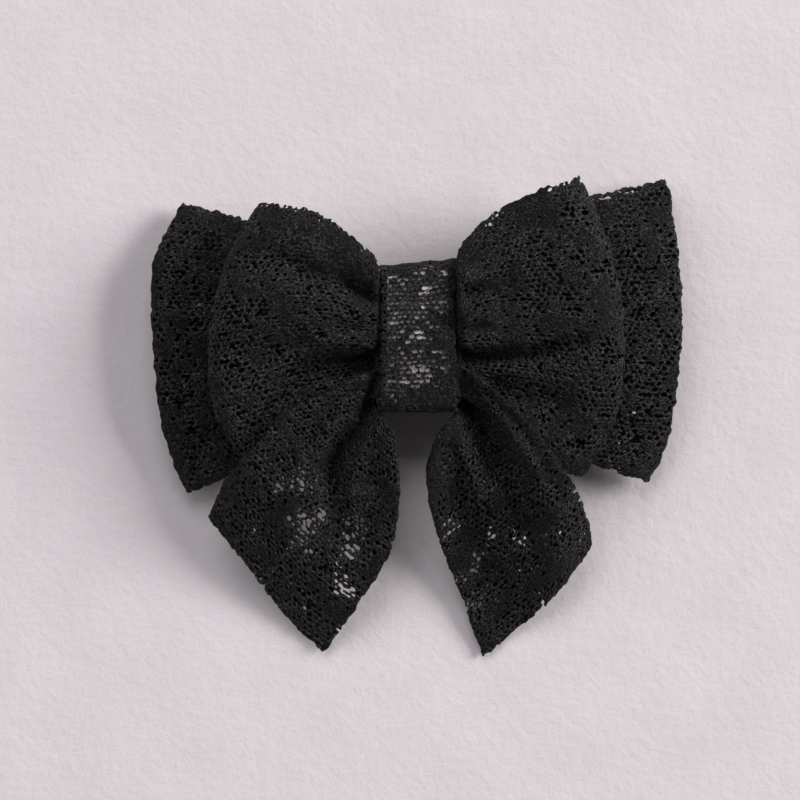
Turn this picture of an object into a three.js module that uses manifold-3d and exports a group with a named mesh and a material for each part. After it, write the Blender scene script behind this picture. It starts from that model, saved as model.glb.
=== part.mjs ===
// Hair bow: two folded strips of knitted lace, two tails and a wrapped knot on a spring barrette.
// Millimetres. The bow lies on its clip: +Z points up out of its front, +Y to the top of the
// knot, +X to the right. Every length below is measured from the knot's centre; the last lines
// move the whole bow so that its origin is the middle of its lowest level.
import * as THREE from 'three';
import { mergeVertices } from 'three/addons/utils/BufferGeometryUtils.js';
import Module from 'manifold-3d';

const wasm = await Module();
wasm.setup();

// ---- driving dimensions ------------------------------------------------------------------

const GAP = 0.3;             // clearance between pieces that touch
const SHEET = 1.0;           // thickness of one layer of gathered lace
const KNOT_WIDTH = 17.8;     // knot along X
const KNOT_LENGTH = 33.8;    // knot along Y
const KNOT_TOP = 28.8;       // highest level of the knot band
const KNOT_BASE = 11.3;      // lowest level of the knot band
const BAND = 0.8;            // thickness of the knot's lace
const LINING = 0.6;          // thickness of the knot's lining
const CLIP_LENGTH = 80;      // base plate along X
const CLIP_WIDTH = 8.5;      // base plate along Y
const PLATE_TOP = 9.5;       // upper face of the base plate
const PLATE = 0.8;           // thickness of the base plate
const PAD_LENGTH = 58;
const PAD_WIDTH = 10;
const HINGE_X = -36.5;       // hinge pin's place along the clip
const HINGE_Z = 6.4;
const PIN_RADIUS = 0.6;
const CATCH_X = 33;          // root of the catch arms
const CLASP_WIDTH = 6.4;
const REST_FLAT = 30;        // flat stretch in the middle of the clasp, which meets a table

const COLORS = {
  lace: 0x1f1e1e,
  lining: 0xd9c9cc,
  thread: 0x161616,
  felt: 0x1b1a1a,
  steel: 0xb9bbbd,
  spring: 0xa4a6a9,
};

// ---- outlines in plan, from the knot's centre ----------------------------------------------

// A loop's edges run from the knot to the fold; its fold runs from the lower corner to the upper.
const BACK_LOOP_RIGHT = {
  lower: [[8.5, -13.2], [24, -22.8], [41, -29.6], [51.7, -33.2]],
  upper: [[8.5, 13.2], [22, 25.5], [38.1, 31.6], [55.3, 35.9]],
  fold: [[51.7, -33.2], [56.2, -22.6], [58.4, -8.1], [59.1, 8.3], [58.4, 19.6], [55.3, 35.9]],
};
const BACK_LOOP_LEFT = {
  lower: [[-8.5, -13.2], [-26, -24.6], [-44.7, -32.9], [-52.1, -35.4]],
  upper: [[-8.5, 13.2], [-24, 22.5], [-39, 26.4], [-52.6, 30.2]],
  fold: [[-52.1, -35.4], [-57.1, -21], [-59.5, -5], [-60.2, 13], [-58.6, 20], [-52.6, 30.2]],
};
const FRONT_LOOP_RIGHT = {
  lower: [[8.5, -13.4], [22, -20.5], [32.3, -28.5], [37.7, -31.6]],
  upper: [[8.5, 13.8], [10.6, 19.4], [17.8, 27.2], [25.3, 31.9], [35.6, 36.4]],
  fold: [[37.7, -31.6], [44, -16.5], [45.8, 0], [44, 13.5], [40.6, 25], [35.6, 36.4]],
};
const FRONT_LOOP_LEFT = {
  lower: [[-8.5, -13.4], [-20, -18.8], [-29.5, -26.5], [-36.5, -31]],
  upper: [[-8.5, 13.8], [-10.4, 18], [-14.2, 21.6], [-22, 27.2], [-34.8, 30.6]],
  fold: [[-36.5, -31], [-44, -19], [-46.4, -8], [-45.3, 6.1], [-42.4, 17.6], [-34.8, 30.6]],
};

// A tail's edges run from the middle of the knot to its cut end; the lower edge ends in the point.
const TAIL_LEFT = {
  lower: [[0, -12.6], [-8.6, -12.9], [-11, -17.4], [-6.4, -23], [-4, -34], [-5.9, -46.8],
    [-12.2, -58.2], [-21.4, -71.4]],
  upper: [[0, -4], [-9.3, -7.4], [-19.9, -12.2], [-28.9, -16.6], [-36, -24], [-43, -31.8],
    [-47.6, -41]],
  end: [[-21.4, -71.4], [-35.2, -58.2], [-47.6, -41]],
};
const TAIL_RIGHT = {
  lower: [[0, -12.6], [8.6, -12.9], [11, -17.4], [4.6, -23], [2, -31], [4.2, -43.4], [9.3, -57],
    [15.2, -72.8]],
  upper: [[0, -4], [9.3, -6.4], [16.8, -11.8], [25.3, -20], [32, -29.2], [37, -37.2],
    [40.5, -47.4]],
  end: [[15.2, -72.8], [29.6, -61.2], [40.5, -47.4]],
};

// ---- geometry helpers ------------------------------------------------------------------------

const mix = (a, b, share) => a + (b - a) * share;
const smooth = (x, from, to) => THREE.MathUtils.smoothstep(x, from, to);
const spline = (points) => new THREE.SplineCurve(points.map(([x, y]) => new THREE.Vector2(x, y)));

// A patch in plan: r runs from the knot to the end, t from the first edge to the second. It is
// ruled between the edges, and bends with its curved end as it nears it.
function patch(firstEdge, secondEdge, endEdge) {
  const first = spline(firstEdge);
  const second = spline(secondEdge);
  const end = spline(endEdge);
  return (r, t) => {
    const straightEnd = end.getPoint(0).lerp(end.getPoint(1), t);
    const bend = end.getPointAt(t).sub(straightEnd);
    return first.getPointAt(r).lerp(second.getPointAt(r), t).addScaledVector(bend, r);
  };
}

// Turn a grid of middle-surface points into a closed shell. The first index wraps when ring is on.
function shell(grid, thickness, ring) {
  const rows = grid.length;
  const columns = grid[0].length;
  const at = (i, j) => {
    const row = ring ? (i + rows) % rows : THREE.MathUtils.clamp(i, 0, rows - 1);
    return grid[row][THREE.MathUtils.clamp(j, 0, columns - 1)];
  };
  const positions = [];
  for (const side of [1, -1]) {
    for (let i = 0; i < rows; i += 1) {
      for (let j = 0; j < columns; j += 1) {
        const along = at(i + 1, j).clone().sub(at(i - 1, j));
        const across = at(i, j + 1).clone().sub(at(i, j - 1));
        const normal = along.cross(across).normalize();
        const point = grid[i][j].clone().addScaledVector(normal, (side * thickness) / 2);
        positions.push(point.x, point.y, point.z);
      }
    }
  }
  const upper = (i, j) => (i % rows) * columns + j;
  const lower = (i, j) => rows * columns + upper(i, j);
  const index = [];
  const quad = (a, b, c, d) => index.push(a, b, c, a, c, d);
  const lastRow = ring ? rows : rows - 1;
  for (let i = 0; i < lastRow; i += 1) {
    for (let j = 0; j < columns - 1; j += 1) {
      quad(upper(i, j), upper(i + 1, j), upper(i + 1, j + 1), upper(i, j + 1));
      quad(lower(i, j), lower(i, j + 1), lower(i + 1, j + 1), lower(i + 1, j));
    }
    quad(upper(i, 0), lower(i, 0), lower(i + 1, 0), upper(i + 1, 0));
    const k = columns - 1;
    quad(upper(i, k), upper(i + 1, k), lower(i + 1, k), lower(i, k));
  }
  if (!ring) {
    const k = rows - 1;
    for (let j = 0; j < columns - 1; j += 1) {
      quad(upper(0, j), upper(0, j + 1), lower(0, j + 1), lower(0, j));
      quad(upper(k, j), lower(k, j), lower(k, j + 1), upper(k, j + 1));
    }
  }
  const geometry = new THREE.BufferGeometry();
  geometry.setAttribute('position', new THREE.Float32BufferAttribute(positions, 3));
  geometry.setIndex(index);
  geometry.computeVertexNormals();
  return geometry;
}

function solid(geometry) {
  const bare = geometry.clone();
  bare.deleteAttribute('normal');
  bare.deleteAttribute('uv');
  const merged = mergeVertices(bare, 1e-5);
  return new wasm.Manifold(new wasm.Mesh({
    numProp: 3,
    vertProperties: new Float32Array(merged.attributes.position.array),
    triVerts: new Uint32Array(merged.index.array),
  }));
}

function fromSolid(body) {
  const mesh = body.getMesh();
  const geometry = new THREE.BufferGeometry();
  geometry.setAttribute('position', new THREE.BufferAttribute(mesh.vertProperties, 3));
  geometry.setIndex(new THREE.BufferAttribute(mesh.triVerts, 1));
  geometry.computeVertexNormals();
  return geometry;
}

const material = (color, roughness, metalness) => (
  new THREE.MeshStandardMaterial({ color, roughness, metalness })
);
const lace = () => material(COLORS.lace, 0.85, 0);
const metal = (color) => material(color, 0.3, 1);

function piece(name, geometry, finish) {
  const mesh = new THREE.Mesh(geometry, finish);
  mesh.name = name;
  return mesh;
}

// A flat shape in plan, made into a plate whose top face is at the given level.
function plate(shape, thickness, top) {
  const geometry = new THREE.ExtrudeGeometry(shape, {
    depth: thickness,
    bevelEnabled: false,
    curveSegments: 10,
  });
  return geometry.translate(0, 0, top - thickness);
}

// A side view drawn in X and Z, made into a bar of the given width centred on y.
function bar(shape, width, y = 0) {
  const geometry = new THREE.ExtrudeGeometry(shape, {
    depth: width,
    bevelEnabled: false,
    curveSegments: 10,
  });
  return geometry.rotateX(Math.PI / 2).translate(0, y + width / 2, 0);
}

function crossPin(radius, length, x, z) {
  return new THREE.CylinderGeometry(radius, radius, length, 20).translate(x, 0, z);
}

function roundedRectangle(length, width, radius, x = 0, y = 0) {
  const shape = new THREE.Shape();
  const right = x + length / 2;
  const left = x - length / 2;
  const high = y + width / 2;
  const low = y - width / 2;
  shape.moveTo(left + radius, low);
  shape.lineTo(right - radius, low);
  shape.absarc(right - radius, low + radius, radius, -Math.PI / 2, 0);
  shape.lineTo(right, high - radius);
  shape.absarc(right - radius, high - radius, radius, 0, Math.PI / 2);
  shape.lineTo(left + radius, high);
  shape.absarc(left + radius, high - radius, radius, Math.PI / 2, Math.PI);
  shape.lineTo(left, low + radius);
  shape.absarc(left + radius, low + radius, radius, Math.PI, Math.PI * 1.5);
  return shape;
}

function circleHole(x, y, radius) {
  return new THREE.Path().absarc(x, y, radius, 0, Math.PI * 2, true);
}

// ---- folded bows -------------------------------------------------------------------------------

// Each bow's heights: the middle level at the knot and at the fold, how far its ends droop, how
// soon its layers part as they leave the knot, and how far they stand from the middle level.
const BACK_BOW = {
  knotLevel: 15.9,
  foldLevel: 12.6,
  droop: 6.6,
  layerAtKnot: 1.35,
  opensBy: () => 0.45,
  frontRise: (t) => mix(2.6, 4.2, Math.abs(2 * t - 1) ** 2),
  backDrop: (t) => mix(1.2, 3.4, Math.abs(2 * t - 1) ** 2),
};
const FRONT_BOW = {
  knotLevel: 21.4,
  foldLevel: 22.3,
  droop: 3,
  layerAtKnot: 1.35,
  opensBy: (t) => mix(0.45, 0.24, smooth(t, 0.25, 0.5)),
  frontRise: (t) => 1.9 + 8 * smooth(t, 0.12, 0.6) - 1.6 * smooth(t, 0.7, 1),
  backDrop: () => 2.2,
};
const LOOP_STEPS = 9;        // steps from the knot to the fold, on each layer
const ACROSS_STEPS = 10;     // steps across a strip

// One row of points across a loop. w runs 0 to 1 on the front layer and 1 to 2 on the back one.
function loopRow(bow, outline, w) {
  const along = w <= 1 ? w : 2 - w;
  const r = Math.sin((along * Math.PI) / 2);
  const closing = Math.sqrt(Math.max(0, 1 - r ** 6));
  const row = [];
  for (let j = 0; j <= ACROSS_STEPS; j += 1) {
    const t = j / ACROSS_STEPS;
    const { x, y } = outline(r, t);
    const droop = bow.droop * r * (2 * t - 1) ** 2;
    const level = mix(bow.knotLevel, bow.foldLevel, r) - droop;
    const reach = w <= 1 ? bow.frontRise(t) : -bow.backDrop(t);
    const layer = (w <= 1 ? 1 : -1) * bow.layerAtKnot;
    const opening = smooth(r, 0, w <= 1 ? bow.opensBy(t) : 0.45);
    row.push(new THREE.Vector3(x, y, level + mix(layer, reach, opening) * closing));
  }
  return row;
}

// The strip is a closed band: right loop out and back, then left loop out and back.
function foldedStrip(bow, right, left) {
  const rightPlan = patch(right.lower, right.upper, right.fold);
  const leftPlan = patch(left.lower, left.upper, left.fold);
  const grid = [];
  const steps = 2 * LOOP_STEPS;
  for (let i = 0; i <= steps; i += 1) {
    grid.push(loopRow(bow, rightPlan, i / LOOP_STEPS));
  }
  for (let i = 0; i <= steps; i += 1) {
    grid.push(loopRow(bow, leftPlan, 2 - i / LOOP_STEPS));
  }
  return shell(grid, SHEET, true);
}

// ---- tails -----------------------------------------------------------------------------------

const TAIL_STEPS = 16;
const TAIL_ACROSS = 10;
const TAIL_KNOT_LEVEL = 24.9;
// Levels of each edge from the knot to the cut end: the lower edge falls to the table, the upper
// one lies over both bows first.
const TAIL_LOWER_LEVELS = [24.9, 24.9, 25.2, 24, 19, 13, 8, 4, 0.9];
const TAIL_UPPER_LEVELS = [24.9, 25, 27.4, 27.6, 27, 26.4, 23.5, 17, 10];
const TAIL_VALLEY = 3;       // depth of the fold that runs down from the knot
const TAIL_VALLEY_AT = 0.4;  // its place between the lower edge and the upper one

function levelCurve(levels) {
  const curve = new THREE.SplineCurve(levels.map((level, i) => new THREE.Vector2(i, level)));
  return (r) => curve.getPoint(r).y;
}

function tailRows(outline) {
  const plan = patch(outline.lower, outline.upper, outline.end);
  const lowerLevel = levelCurve(TAIL_LOWER_LEVELS);
  const upperLevel = levelCurve(TAIL_UPPER_LEVELS);
  const rows = [];
  for (let i = 0; i <= TAIL_STEPS; i += 1) {
    const r = i / TAIL_STEPS;
    const row = [];
    for (let j = 0; j <= TAIL_ACROSS; j += 1) {
      const t = j / TAIL_ACROSS;
      const { x, y } = plan(r, t);
      const level = mix(lowerLevel(r), upperLevel(r), smooth(t, 0.15, 0.8));
      const across = Math.exp(-(((t - TAIL_VALLEY_AT) / 0.15) ** 2));
      const valley = TAIL_VALLEY * across * smooth(r, 0.2, 0.4) * (1 - smooth(r, 0.45, 0.8));
      row.push(new THREE.Vector3(x, y, level - valley));
    }
    rows.push(row);
  }
  return rows;
}

// Both tails are the two ends of one strip, which is gathered where it crosses the knot.
function tailStrip() {
  const left = tailRows(TAIL_LEFT);
  const right = tailRows(TAIL_RIGHT);
  return shell([...left.reverse(), ...right.slice(1)], SHEET, false);
}

// ---- knot, threads and pad ---------------------------------------------------------------------

// A band wrapped round the middle: a rounded ring in Y and Z, extruded along X.
function wrappedBand(width, length, top, base, thickness, corner) {
  const middle = (top + base) / 2;
  const outer = roundedRectangle(length, top - base, corner, 0, middle);
  const innerCorner = Math.max(corner - thickness, 0.4);
  const inner = roundedRectangle(length - 2 * thickness, top - base - 2 * thickness, innerCorner, 0, middle);
  outer.holes.push(new THREE.Path(inner.getPoints(6).reverse()));
  const geometry = new THREE.ExtrudeGeometry(outer, {
    depth: width,
    bevelEnabled: false,
    curveSegments: 6,
  });
  return geometry.rotateX(Math.PI / 2).rotateZ(Math.PI / 2).translate(-width / 2, 0, 0);
}

function knotBand() {
  const geometry = wrappedBand(KNOT_WIDTH, KNOT_LENGTH, KNOT_TOP, KNOT_BASE, BAND, 4);
  return piece('knot_band', geometry, lace());
}

function knotLining() {
  const inset = BAND + GAP;
  const geometry = wrappedBand(
    KNOT_WIDTH - 1.4,
    KNOT_LENGTH - 2 * inset,
    KNOT_TOP - inset,
    KNOT_BASE + inset,
    LINING,
    3,
  );
  return piece('knot_lining', geometry, material(COLORS.lining, 0.5, 0));
}

// Thread wound round one gathered strip, at its own place along X.
function thread(name, x, halfLength, level, halfHeight) {
  const width = 1.6;
  const winding = 0.4;
  const reach = GAP + winding;
  const geometry = wrappedBand(
    width,
    2 * (halfLength + reach),
    level + halfHeight + reach,
    level - halfHeight - reach,
    winding,
    0.6,
  );
  return piece(name, geometry.translate(x, 0, 0), material(COLORS.thread, 0.6, 0));
}

function tailThread() {
  const ring = thread('tail_thread', 2.8, 4.6, TAIL_KNOT_LEVEL, SHEET / 2);
  ring.position.y = -8.6;
  return ring;
}

function clipPad() {
  const shape = roundedRectangle(PAD_LENGTH, PAD_WIDTH, 2);
  const thickness = KNOT_BASE - GAP - PLATE_TOP - GAP;
  return piece('clip_pad', plate(shape, thickness, KNOT_BASE - GAP), material(COLORS.felt, 0.95, 0));
}

// ---- barrette --------------------------------------------------------------------------------

const PLATE_UNDER = PLATE_TOP - PLATE;
const SPRING_SLOT = 28.5;    // place of each slot along the plate
const SEWING_HOLE = 0.9;
const EAR = 0.7;
const EAR_RADIUS = 1.7;

function basePlate() {
  const outline = roundedRectangle(CLIP_LENGTH, CLIP_WIDTH, 3);
  outline.holes.push(circleHole(-CLIP_LENGTH / 2 + 1.8, 0, SEWING_HOLE));
  outline.holes.push(circleHole(CATCH_X - 1.9, 0, 0.75));
  for (const x of [-SPRING_SLOT, SPRING_SLOT]) {
    const slot = roundedRectangle(1.6, 4.2, 0.3, x);
    outline.holes.push(new THREE.Path(slot.getPoints(3).reverse()));
  }
  let body = solid(plate(outline, PLATE, PLATE_TOP));
  const ear = new THREE.Shape();
  ear.moveTo(HINGE_X - EAR_RADIUS, PLATE_UNDER + 0.3);
  ear.lineTo(HINGE_X - EAR_RADIUS, HINGE_Z);
  ear.absarc(HINGE_X, HINGE_Z, EAR_RADIUS, Math.PI, Math.PI * 2);
  ear.lineTo(HINGE_X + EAR_RADIUS, PLATE_UNDER + 0.3);
  ear.closePath();
  ear.holes.push(circleHole(HINGE_X, HINGE_Z, PIN_RADIUS + 0.08));
  for (const side of [-1, 1]) {
    body = body.add(solid(bar(ear, EAR, (side * (CLIP_WIDTH - EAR)) / 2)));
  }
  return piece('base_plate', fromSolid(body), metal(COLORS.steel));
}

// A pin with a formed head at each end, turned about its own axis.
function rivet(name, radius, headRadius, head, length) {
  const half = length / 2;
  const profile = [
    [0, -half - head], [headRadius * 0.7, -half - head], [headRadius, -half - head * 0.4],
    [headRadius, -half], [radius, -half], [radius, half], [headRadius, half],
    [headRadius, half + head * 0.4], [headRadius * 0.7, half + head], [0, half + head],
  ].map(([x, y]) => new THREE.Vector2(x, y));
  return piece(name, new THREE.LatheGeometry(profile, 14), metal(COLORS.steel));
}

function hingePin() {
  const pin = rivet('hinge_pin', PIN_RADIUS, 1.1, 0.45, CLIP_WIDTH + 0.16);
  pin.position.set(HINGE_X, 0, HINGE_Z);
  return pin;
}

// The clasp's middle line: a flat stretch at the bottom, curving up to each end.
const CLASP_END = 38.6;
const CLASP_DEPTH = 1.9;     // height of the channel's side walls
const CLASP_SHEET = 0.7;
const CLASP_CATCH_LEVEL = 3.0;
const KNUCKLE_RADIUS = 1.65;

function claspUnderside(x) {
  const endX = x < 0 ? -HINGE_X : CLASP_END;
  const rise = x < 0 ? HINGE_Z - 1.45 : CLASP_CATCH_LEVEL;
  const share = THREE.MathUtils.clamp((Math.abs(x) - REST_FLAT / 2) / (endX - REST_FLAT / 2), 0, 1);
  return rise * share ** 2;
}

function claspProfile(from, to, low, high) {
  const steps = 22;
  const points = [];
  for (let i = 0; i <= steps; i += 1) {
    const x = mix(from, to, i / steps);
    points.push(new THREE.Vector2(x, claspUnderside(x) + low));
  }
  for (let i = steps; i >= 0; i -= 1) {
    const x = mix(from, to, i / steps);
    points.push(new THREE.Vector2(x, claspUnderside(x) + high));
  }
  return new THREE.Shape(points);
}

const WINDOW = [CATCH_X + 0.6, CATCH_X + 4.4];
const WINDOW_HALF = 1.95;

function claspBar() {
  const body = claspProfile(HINGE_X, CLASP_END, 0, CLASP_DEPTH);
  const hollow = claspProfile(HINGE_X + 3.4, CLASP_END + 1, CLASP_SHEET, CLASP_DEPTH + 1);
  const window = new THREE.Shape([
    new THREE.Vector2(WINDOW[0], -5),
    new THREE.Vector2(WINDOW[1], -5),
    new THREE.Vector2(WINDOW[1], 20),
    new THREE.Vector2(WINDOW[0], 20),
  ]);
  const knuckle = crossPin(KNUCKLE_RADIUS, CLASP_WIDTH, HINGE_X, HINGE_Z);
  const bore = crossPin(PIN_RADIUS + 0.1, CLASP_WIDTH + 2, HINGE_X, HINGE_Z);
  const clasp = solid(bar(body, CLASP_WIDTH))
    .subtract(solid(bar(hollow, CLASP_WIDTH - 1.4)))
    .add(solid(knuckle))
    .subtract(solid(bore))
    .subtract(solid(bar(window, 2 * WINDOW_HALF)));
  return piece('clasp_bar', fromSolid(clasp), metal(COLORS.steel));
}

// A thin leaf that arches down from the plate, with its ends turned up into the plate's slots.
const LEAF = 0.45;
const LEAF_SAG = 1.5;

function tensionSpring() {
  const steps = 16;
  const under = PLATE_UNDER - GAP;
  const lower = [];
  const upper = [];
  for (let i = 0; i <= steps; i += 1) {
    const x = mix(-SPRING_SLOT, SPRING_SLOT, i / steps);
    const sag = LEAF_SAG * (1 - (x / SPRING_SLOT) ** 2);
    const level = under - LEAF - sag;
    lower.push(new THREE.Vector2(x, level));
    upper.unshift(new THREE.Vector2(x, level + LEAF));
  }
  const tip = PLATE_TOP - 0.1;
  const half = LEAF / 2;
  lower[0].x -= half;
  lower[steps].x += half;
  upper[0].set(SPRING_SLOT + half, tip);
  upper.splice(1, 0, new THREE.Vector2(SPRING_SLOT - half, tip));
  upper.splice(2, 0, new THREE.Vector2(SPRING_SLOT - half, under));
  upper[upper.length - 1].set(-SPRING_SLOT - half, tip);
  upper.splice(upper.length - 1, 0, new THREE.Vector2(-SPRING_SLOT + half, under));
  upper.splice(upper.length - 1, 0, new THREE.Vector2(-SPRING_SLOT + half, tip));
  const geometry = bar(new THREE.Shape([...lower, ...upper]), 3.4);
  return piece('tension_spring', geometry, metal(COLORS.spring));
}

const BRACKET = 0.6;
const BRACKET_TOP = PLATE_UNDER - 0.1;
const BRACKET_UNDER = BRACKET_TOP - BRACKET;
const ARM = 0.5;
const ARM_Y = 1.45;          // middle of each catch arm, from the clip's centre line

function catchBracket() {
  const shape = roundedRectangle(8.6, 6.4, 0.8, CATCH_X + 0.3);
  shape.holes.push(circleHole(CATCH_X - 1.9, 0, 0.75));
  const saddle = solid(plate(shape, BRACKET, BRACKET_TOP));
  return piece('catch_bracket', fromSolid(saddle), metal(COLORS.spring));
}

function catchRivet() {
  const pin = rivet('catch_rivet', 0.6, 1.15, 0.4, PLATE + BRACKET + 0.4);
  pin.rotation.x = Math.PI / 2;
  pin.position.set(CATCH_X - 1.9, 0, PLATE_TOP + 0.15 - (PLATE + BRACKET + 0.4) / 2);
  return pin;
}

// A sprung arm: a thin upright leaf with a barbed foot in the clasp's window and a finger tab.
const ARM_TOP = BRACKET_UNDER - 0.15;
const BARB = 0.25;
const TAB_X = 42.5;

function catchArm(name, side) {
  const leaf = new THREE.Shape([
    new THREE.Vector2(CATCH_X - 0.2, ARM_TOP),
    new THREE.Vector2(CATCH_X - 0.2, 4.6),
    new THREE.Vector2(CATCH_X + 1.0, 4.2),
    new THREE.Vector2(CATCH_X + 1.0, 1.2),
    new THREE.Vector2(CATCH_X + 4.0, 1.2),
    new THREE.Vector2(CATCH_X + 4.0, 5.0),
    new THREE.Vector2(TAB_X - 1.5, 5.0),
    new THREE.Vector2(TAB_X - 1.5, ARM_TOP),
  ]);
  const barb = new THREE.Shape([
    new THREE.Vector2(CATCH_X + 1.0, 1.2),
    new THREE.Vector2(CATCH_X + 4.0, 1.2),
    new THREE.Vector2(CATCH_X + 4.0, 1.8),
    new THREE.Vector2(CATCH_X + 1.0, 1.8),
  ]);
  const tab = new THREE.Shape();
  tab.moveTo(0, -1.9);
  tab.absarc(2.2, 0, 1.9, -Math.PI / 2, Math.PI / 2);
  tab.lineTo(0, 1.9);
  tab.closePath();
  const tabPlate = new THREE.ExtrudeGeometry(tab, { depth: ARM, bevelEnabled: false, curveSegments: 10 })
    .rotateX(Math.PI / 2)
    .translate(0, ARM / 2, 0)
    .rotateZ(side * 0.7)
    .translate(TAB_X - 1.7, side * ARM_Y, (5.0 + ARM_TOP) / 2);
  const arm = solid(bar(leaf, ARM, side * ARM_Y))
    .add(solid(bar(barb, ARM + BARB, side * (ARM_Y + BARB / 2 - 0.06))))
    .add(solid(tabPlate));
  return piece(name, fromSolid(arm), metal(COLORS.spring));
}

// ---- the whole bow -----------------------------------------------------------------------------

const bow = new THREE.Group();
bow.add(piece('back_bow', foldedStrip(BACK_BOW, BACK_LOOP_RIGHT, BACK_LOOP_LEFT), lace()));
bow.add(piece('front_bow', foldedStrip(FRONT_BOW, FRONT_LOOP_RIGHT, FRONT_LOOP_LEFT), lace()));
bow.add(piece('tails', tailStrip(), lace()));
bow.add(thread('back_bow_thread', 0, 13.2, BACK_BOW.knotLevel, BACK_BOW.layerAtKnot + SHEET / 2));
bow.add(thread('front_bow_thread', 0, 13.8, FRONT_BOW.knotLevel, FRONT_BOW.layerAtKnot + SHEET / 2));
bow.add(tailThread());
bow.add(knotBand(), knotLining(), clipPad());
bow.add(basePlate(), hingePin(), claspBar(), tensionSpring());
bow.add(catchBracket(), catchRivet());
bow.add(catchArm('catch_arm_left', 1), catchArm('catch_arm_right', -1));

const box = new THREE.Box3().setFromObject(bow);
const centre = box.getCenter(new THREE.Vector3());
bow.position.set(-centre.x, -centre.y, -box.min.z);

const part = new THREE.Group();
part.add(bow);

export default part;
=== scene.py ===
"""Hair bow of black openwork lace on a spring barrette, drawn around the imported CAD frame.

Lengths are in millimetres until a mesh is made, measured in plan from the knot's centre and in
height from the table. Each strip of lace is a shaped surface with a net of holes cut in it.
"""
import math

import bpy
import numpy as np
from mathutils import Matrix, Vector


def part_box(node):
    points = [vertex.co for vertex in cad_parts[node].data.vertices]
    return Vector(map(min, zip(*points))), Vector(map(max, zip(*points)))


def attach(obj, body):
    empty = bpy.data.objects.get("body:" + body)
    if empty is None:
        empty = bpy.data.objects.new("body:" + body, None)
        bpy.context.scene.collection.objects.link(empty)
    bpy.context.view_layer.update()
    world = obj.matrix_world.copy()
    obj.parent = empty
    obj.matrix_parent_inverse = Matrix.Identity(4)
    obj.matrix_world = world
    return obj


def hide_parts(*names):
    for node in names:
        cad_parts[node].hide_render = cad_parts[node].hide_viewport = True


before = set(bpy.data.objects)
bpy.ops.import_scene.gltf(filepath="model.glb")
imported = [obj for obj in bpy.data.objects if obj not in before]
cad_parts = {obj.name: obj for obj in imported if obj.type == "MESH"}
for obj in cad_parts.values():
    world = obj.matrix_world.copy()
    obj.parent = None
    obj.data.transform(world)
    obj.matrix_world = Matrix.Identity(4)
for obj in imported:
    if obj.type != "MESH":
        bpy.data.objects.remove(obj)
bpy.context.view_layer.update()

MM = 0.001


def node_box(node):
    """A CAD node's lowest and highest corners in millimetres."""
    low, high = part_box(node)
    return np.array(low) / MM, np.array(high) / MM


KNOT_LOW, KNOT_HIGH = node_box("knot_band")
KNOT_CENTRE = (KNOT_LOW + KNOT_HIGH) / 2
KNOT_HALF_WIDTH = (KNOT_HIGH[0] - KNOT_LOW[0]) / 2
PLAN_ORIGIN = np.array([KNOT_CENTRE[0], KNOT_CENTRE[1], 0])

# ---- lace ----

MESH_STEP = 0.45           # spacing of the lace mesh's points
HIDDEN_STEP = 0.72         # the same on layers that face away
HOLE_PITCH_LONG = 1.62     # spacing of holes along their long axis
HOLE_PITCH_SHORT = 1.22
HOLE_LONG = 0.60           # half length of a hole
HOLE_SHORT = 0.43
HOLE_TURN = 0.7            # range of the holes' directions, in radians
NET_DRIFT_LONG = 0.9       # how far the net wanders along the holes' long axis
NET_DRIFT_SHORT = 0.8
HOLE_JITTER_LONG = 0.4     # how far single holes stray from it
HOLE_JITTER_SHORT = 0.25
HOLE_CHANCE = 0.3          # how far chance alone decides whether there is a hole
SMALLEST_HOLE = 0.72       # the least random factor on a hole's size
HOLE_SIZE_RANGE = 0.5      # and how much more the greatest is
SLIT_FROM = 0.7            # openness from which the holes lengthen into slits
SLIT_FULL = 0.85           # and at which they are slits
SLIT_STRETCH = 1.7         # how much longer than a hole a slit is
SLIT_NARROWING = 0.85      # and how much narrower
HALF_THICK = 0.32          # half thickness of the knit
EDGE_THICK = 0.13          # half thickness where a yarn rounds into a hole
YARN_ROUND = 0.5           # width over which it rounds
CLUSTER_SIZE = 5.4         # size of a patch of holes
SMALL_CLUSTER = 2.4
LARGE_SHARE = 0.62         # how much the large patches count
SMALL_SHARE = 0.38
FRONT_OPENNESS = 0.6       # how much of the cloth has holes, on the layers that face the front
BACK_OPENNESS = 0.05
EDGE_OPENNESS = 0.40       # near a loop's lower edge, in both its layers
TAIL_BACK_OPENNESS = 0.12  # and on a tail's back layer, whose net lies behind the front one's
THIN_SPOT_OPENNESS = 0.83  # and in a tail's thin spots, in both its layers
YARN_BUMP = 0.10           # how far single stitches stand out of the cloth
SLUB_BUMP = 0.26           # how far thick and thin places in the yarn do
FOLD_BUMP = 0.6            # unevenness of a loop's fold
TAIL_FOLD_BUMP = 0.014     # the same for a tail's two folded sides, as a share of its width
NOISE_SHIFT = 90           # moves a noise away from the others of the same seed
OTHER_EDGE_SHIFT = 300     # the same between a loop's two edges
LONG_REPEAT = 97           # number of holes after which the net repeats, along their long axis
SHORT_REPEAT = 89

# Waves of a cut edge: the length of each along the edge, its depth, and what it adds to the seed.
SCALLOPS = [(2.6, 0.35, 5), (1.15, 0.45, 6), (0.65, 0.60, 10)]


def value_noise(x, y, size, seed):
    """Smooth seeded noise from 0 to 1 with features of the given size."""
    cells = 64
    table = np.random.default_rng(seed).random((cells, cells))
    gx, gy = x / size, y / size
    ix, iy = np.floor(gx).astype(int), np.floor(gy).astype(int)
    fx, fy = gx - ix, gy - iy
    fx, fy = fx * fx * (3 - 2 * fx), fy * fy * (3 - 2 * fy)

    def corner(dx, dy):
        return table[(ix + dx) % cells, (iy + dy) % cells]

    low = corner(0, 0) * (1 - fx) + corner(1, 0) * fx
    high = corner(0, 1) * (1 - fx) + corner(1, 1) * fx
    return low * (1 - fy) + high * fy


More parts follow.
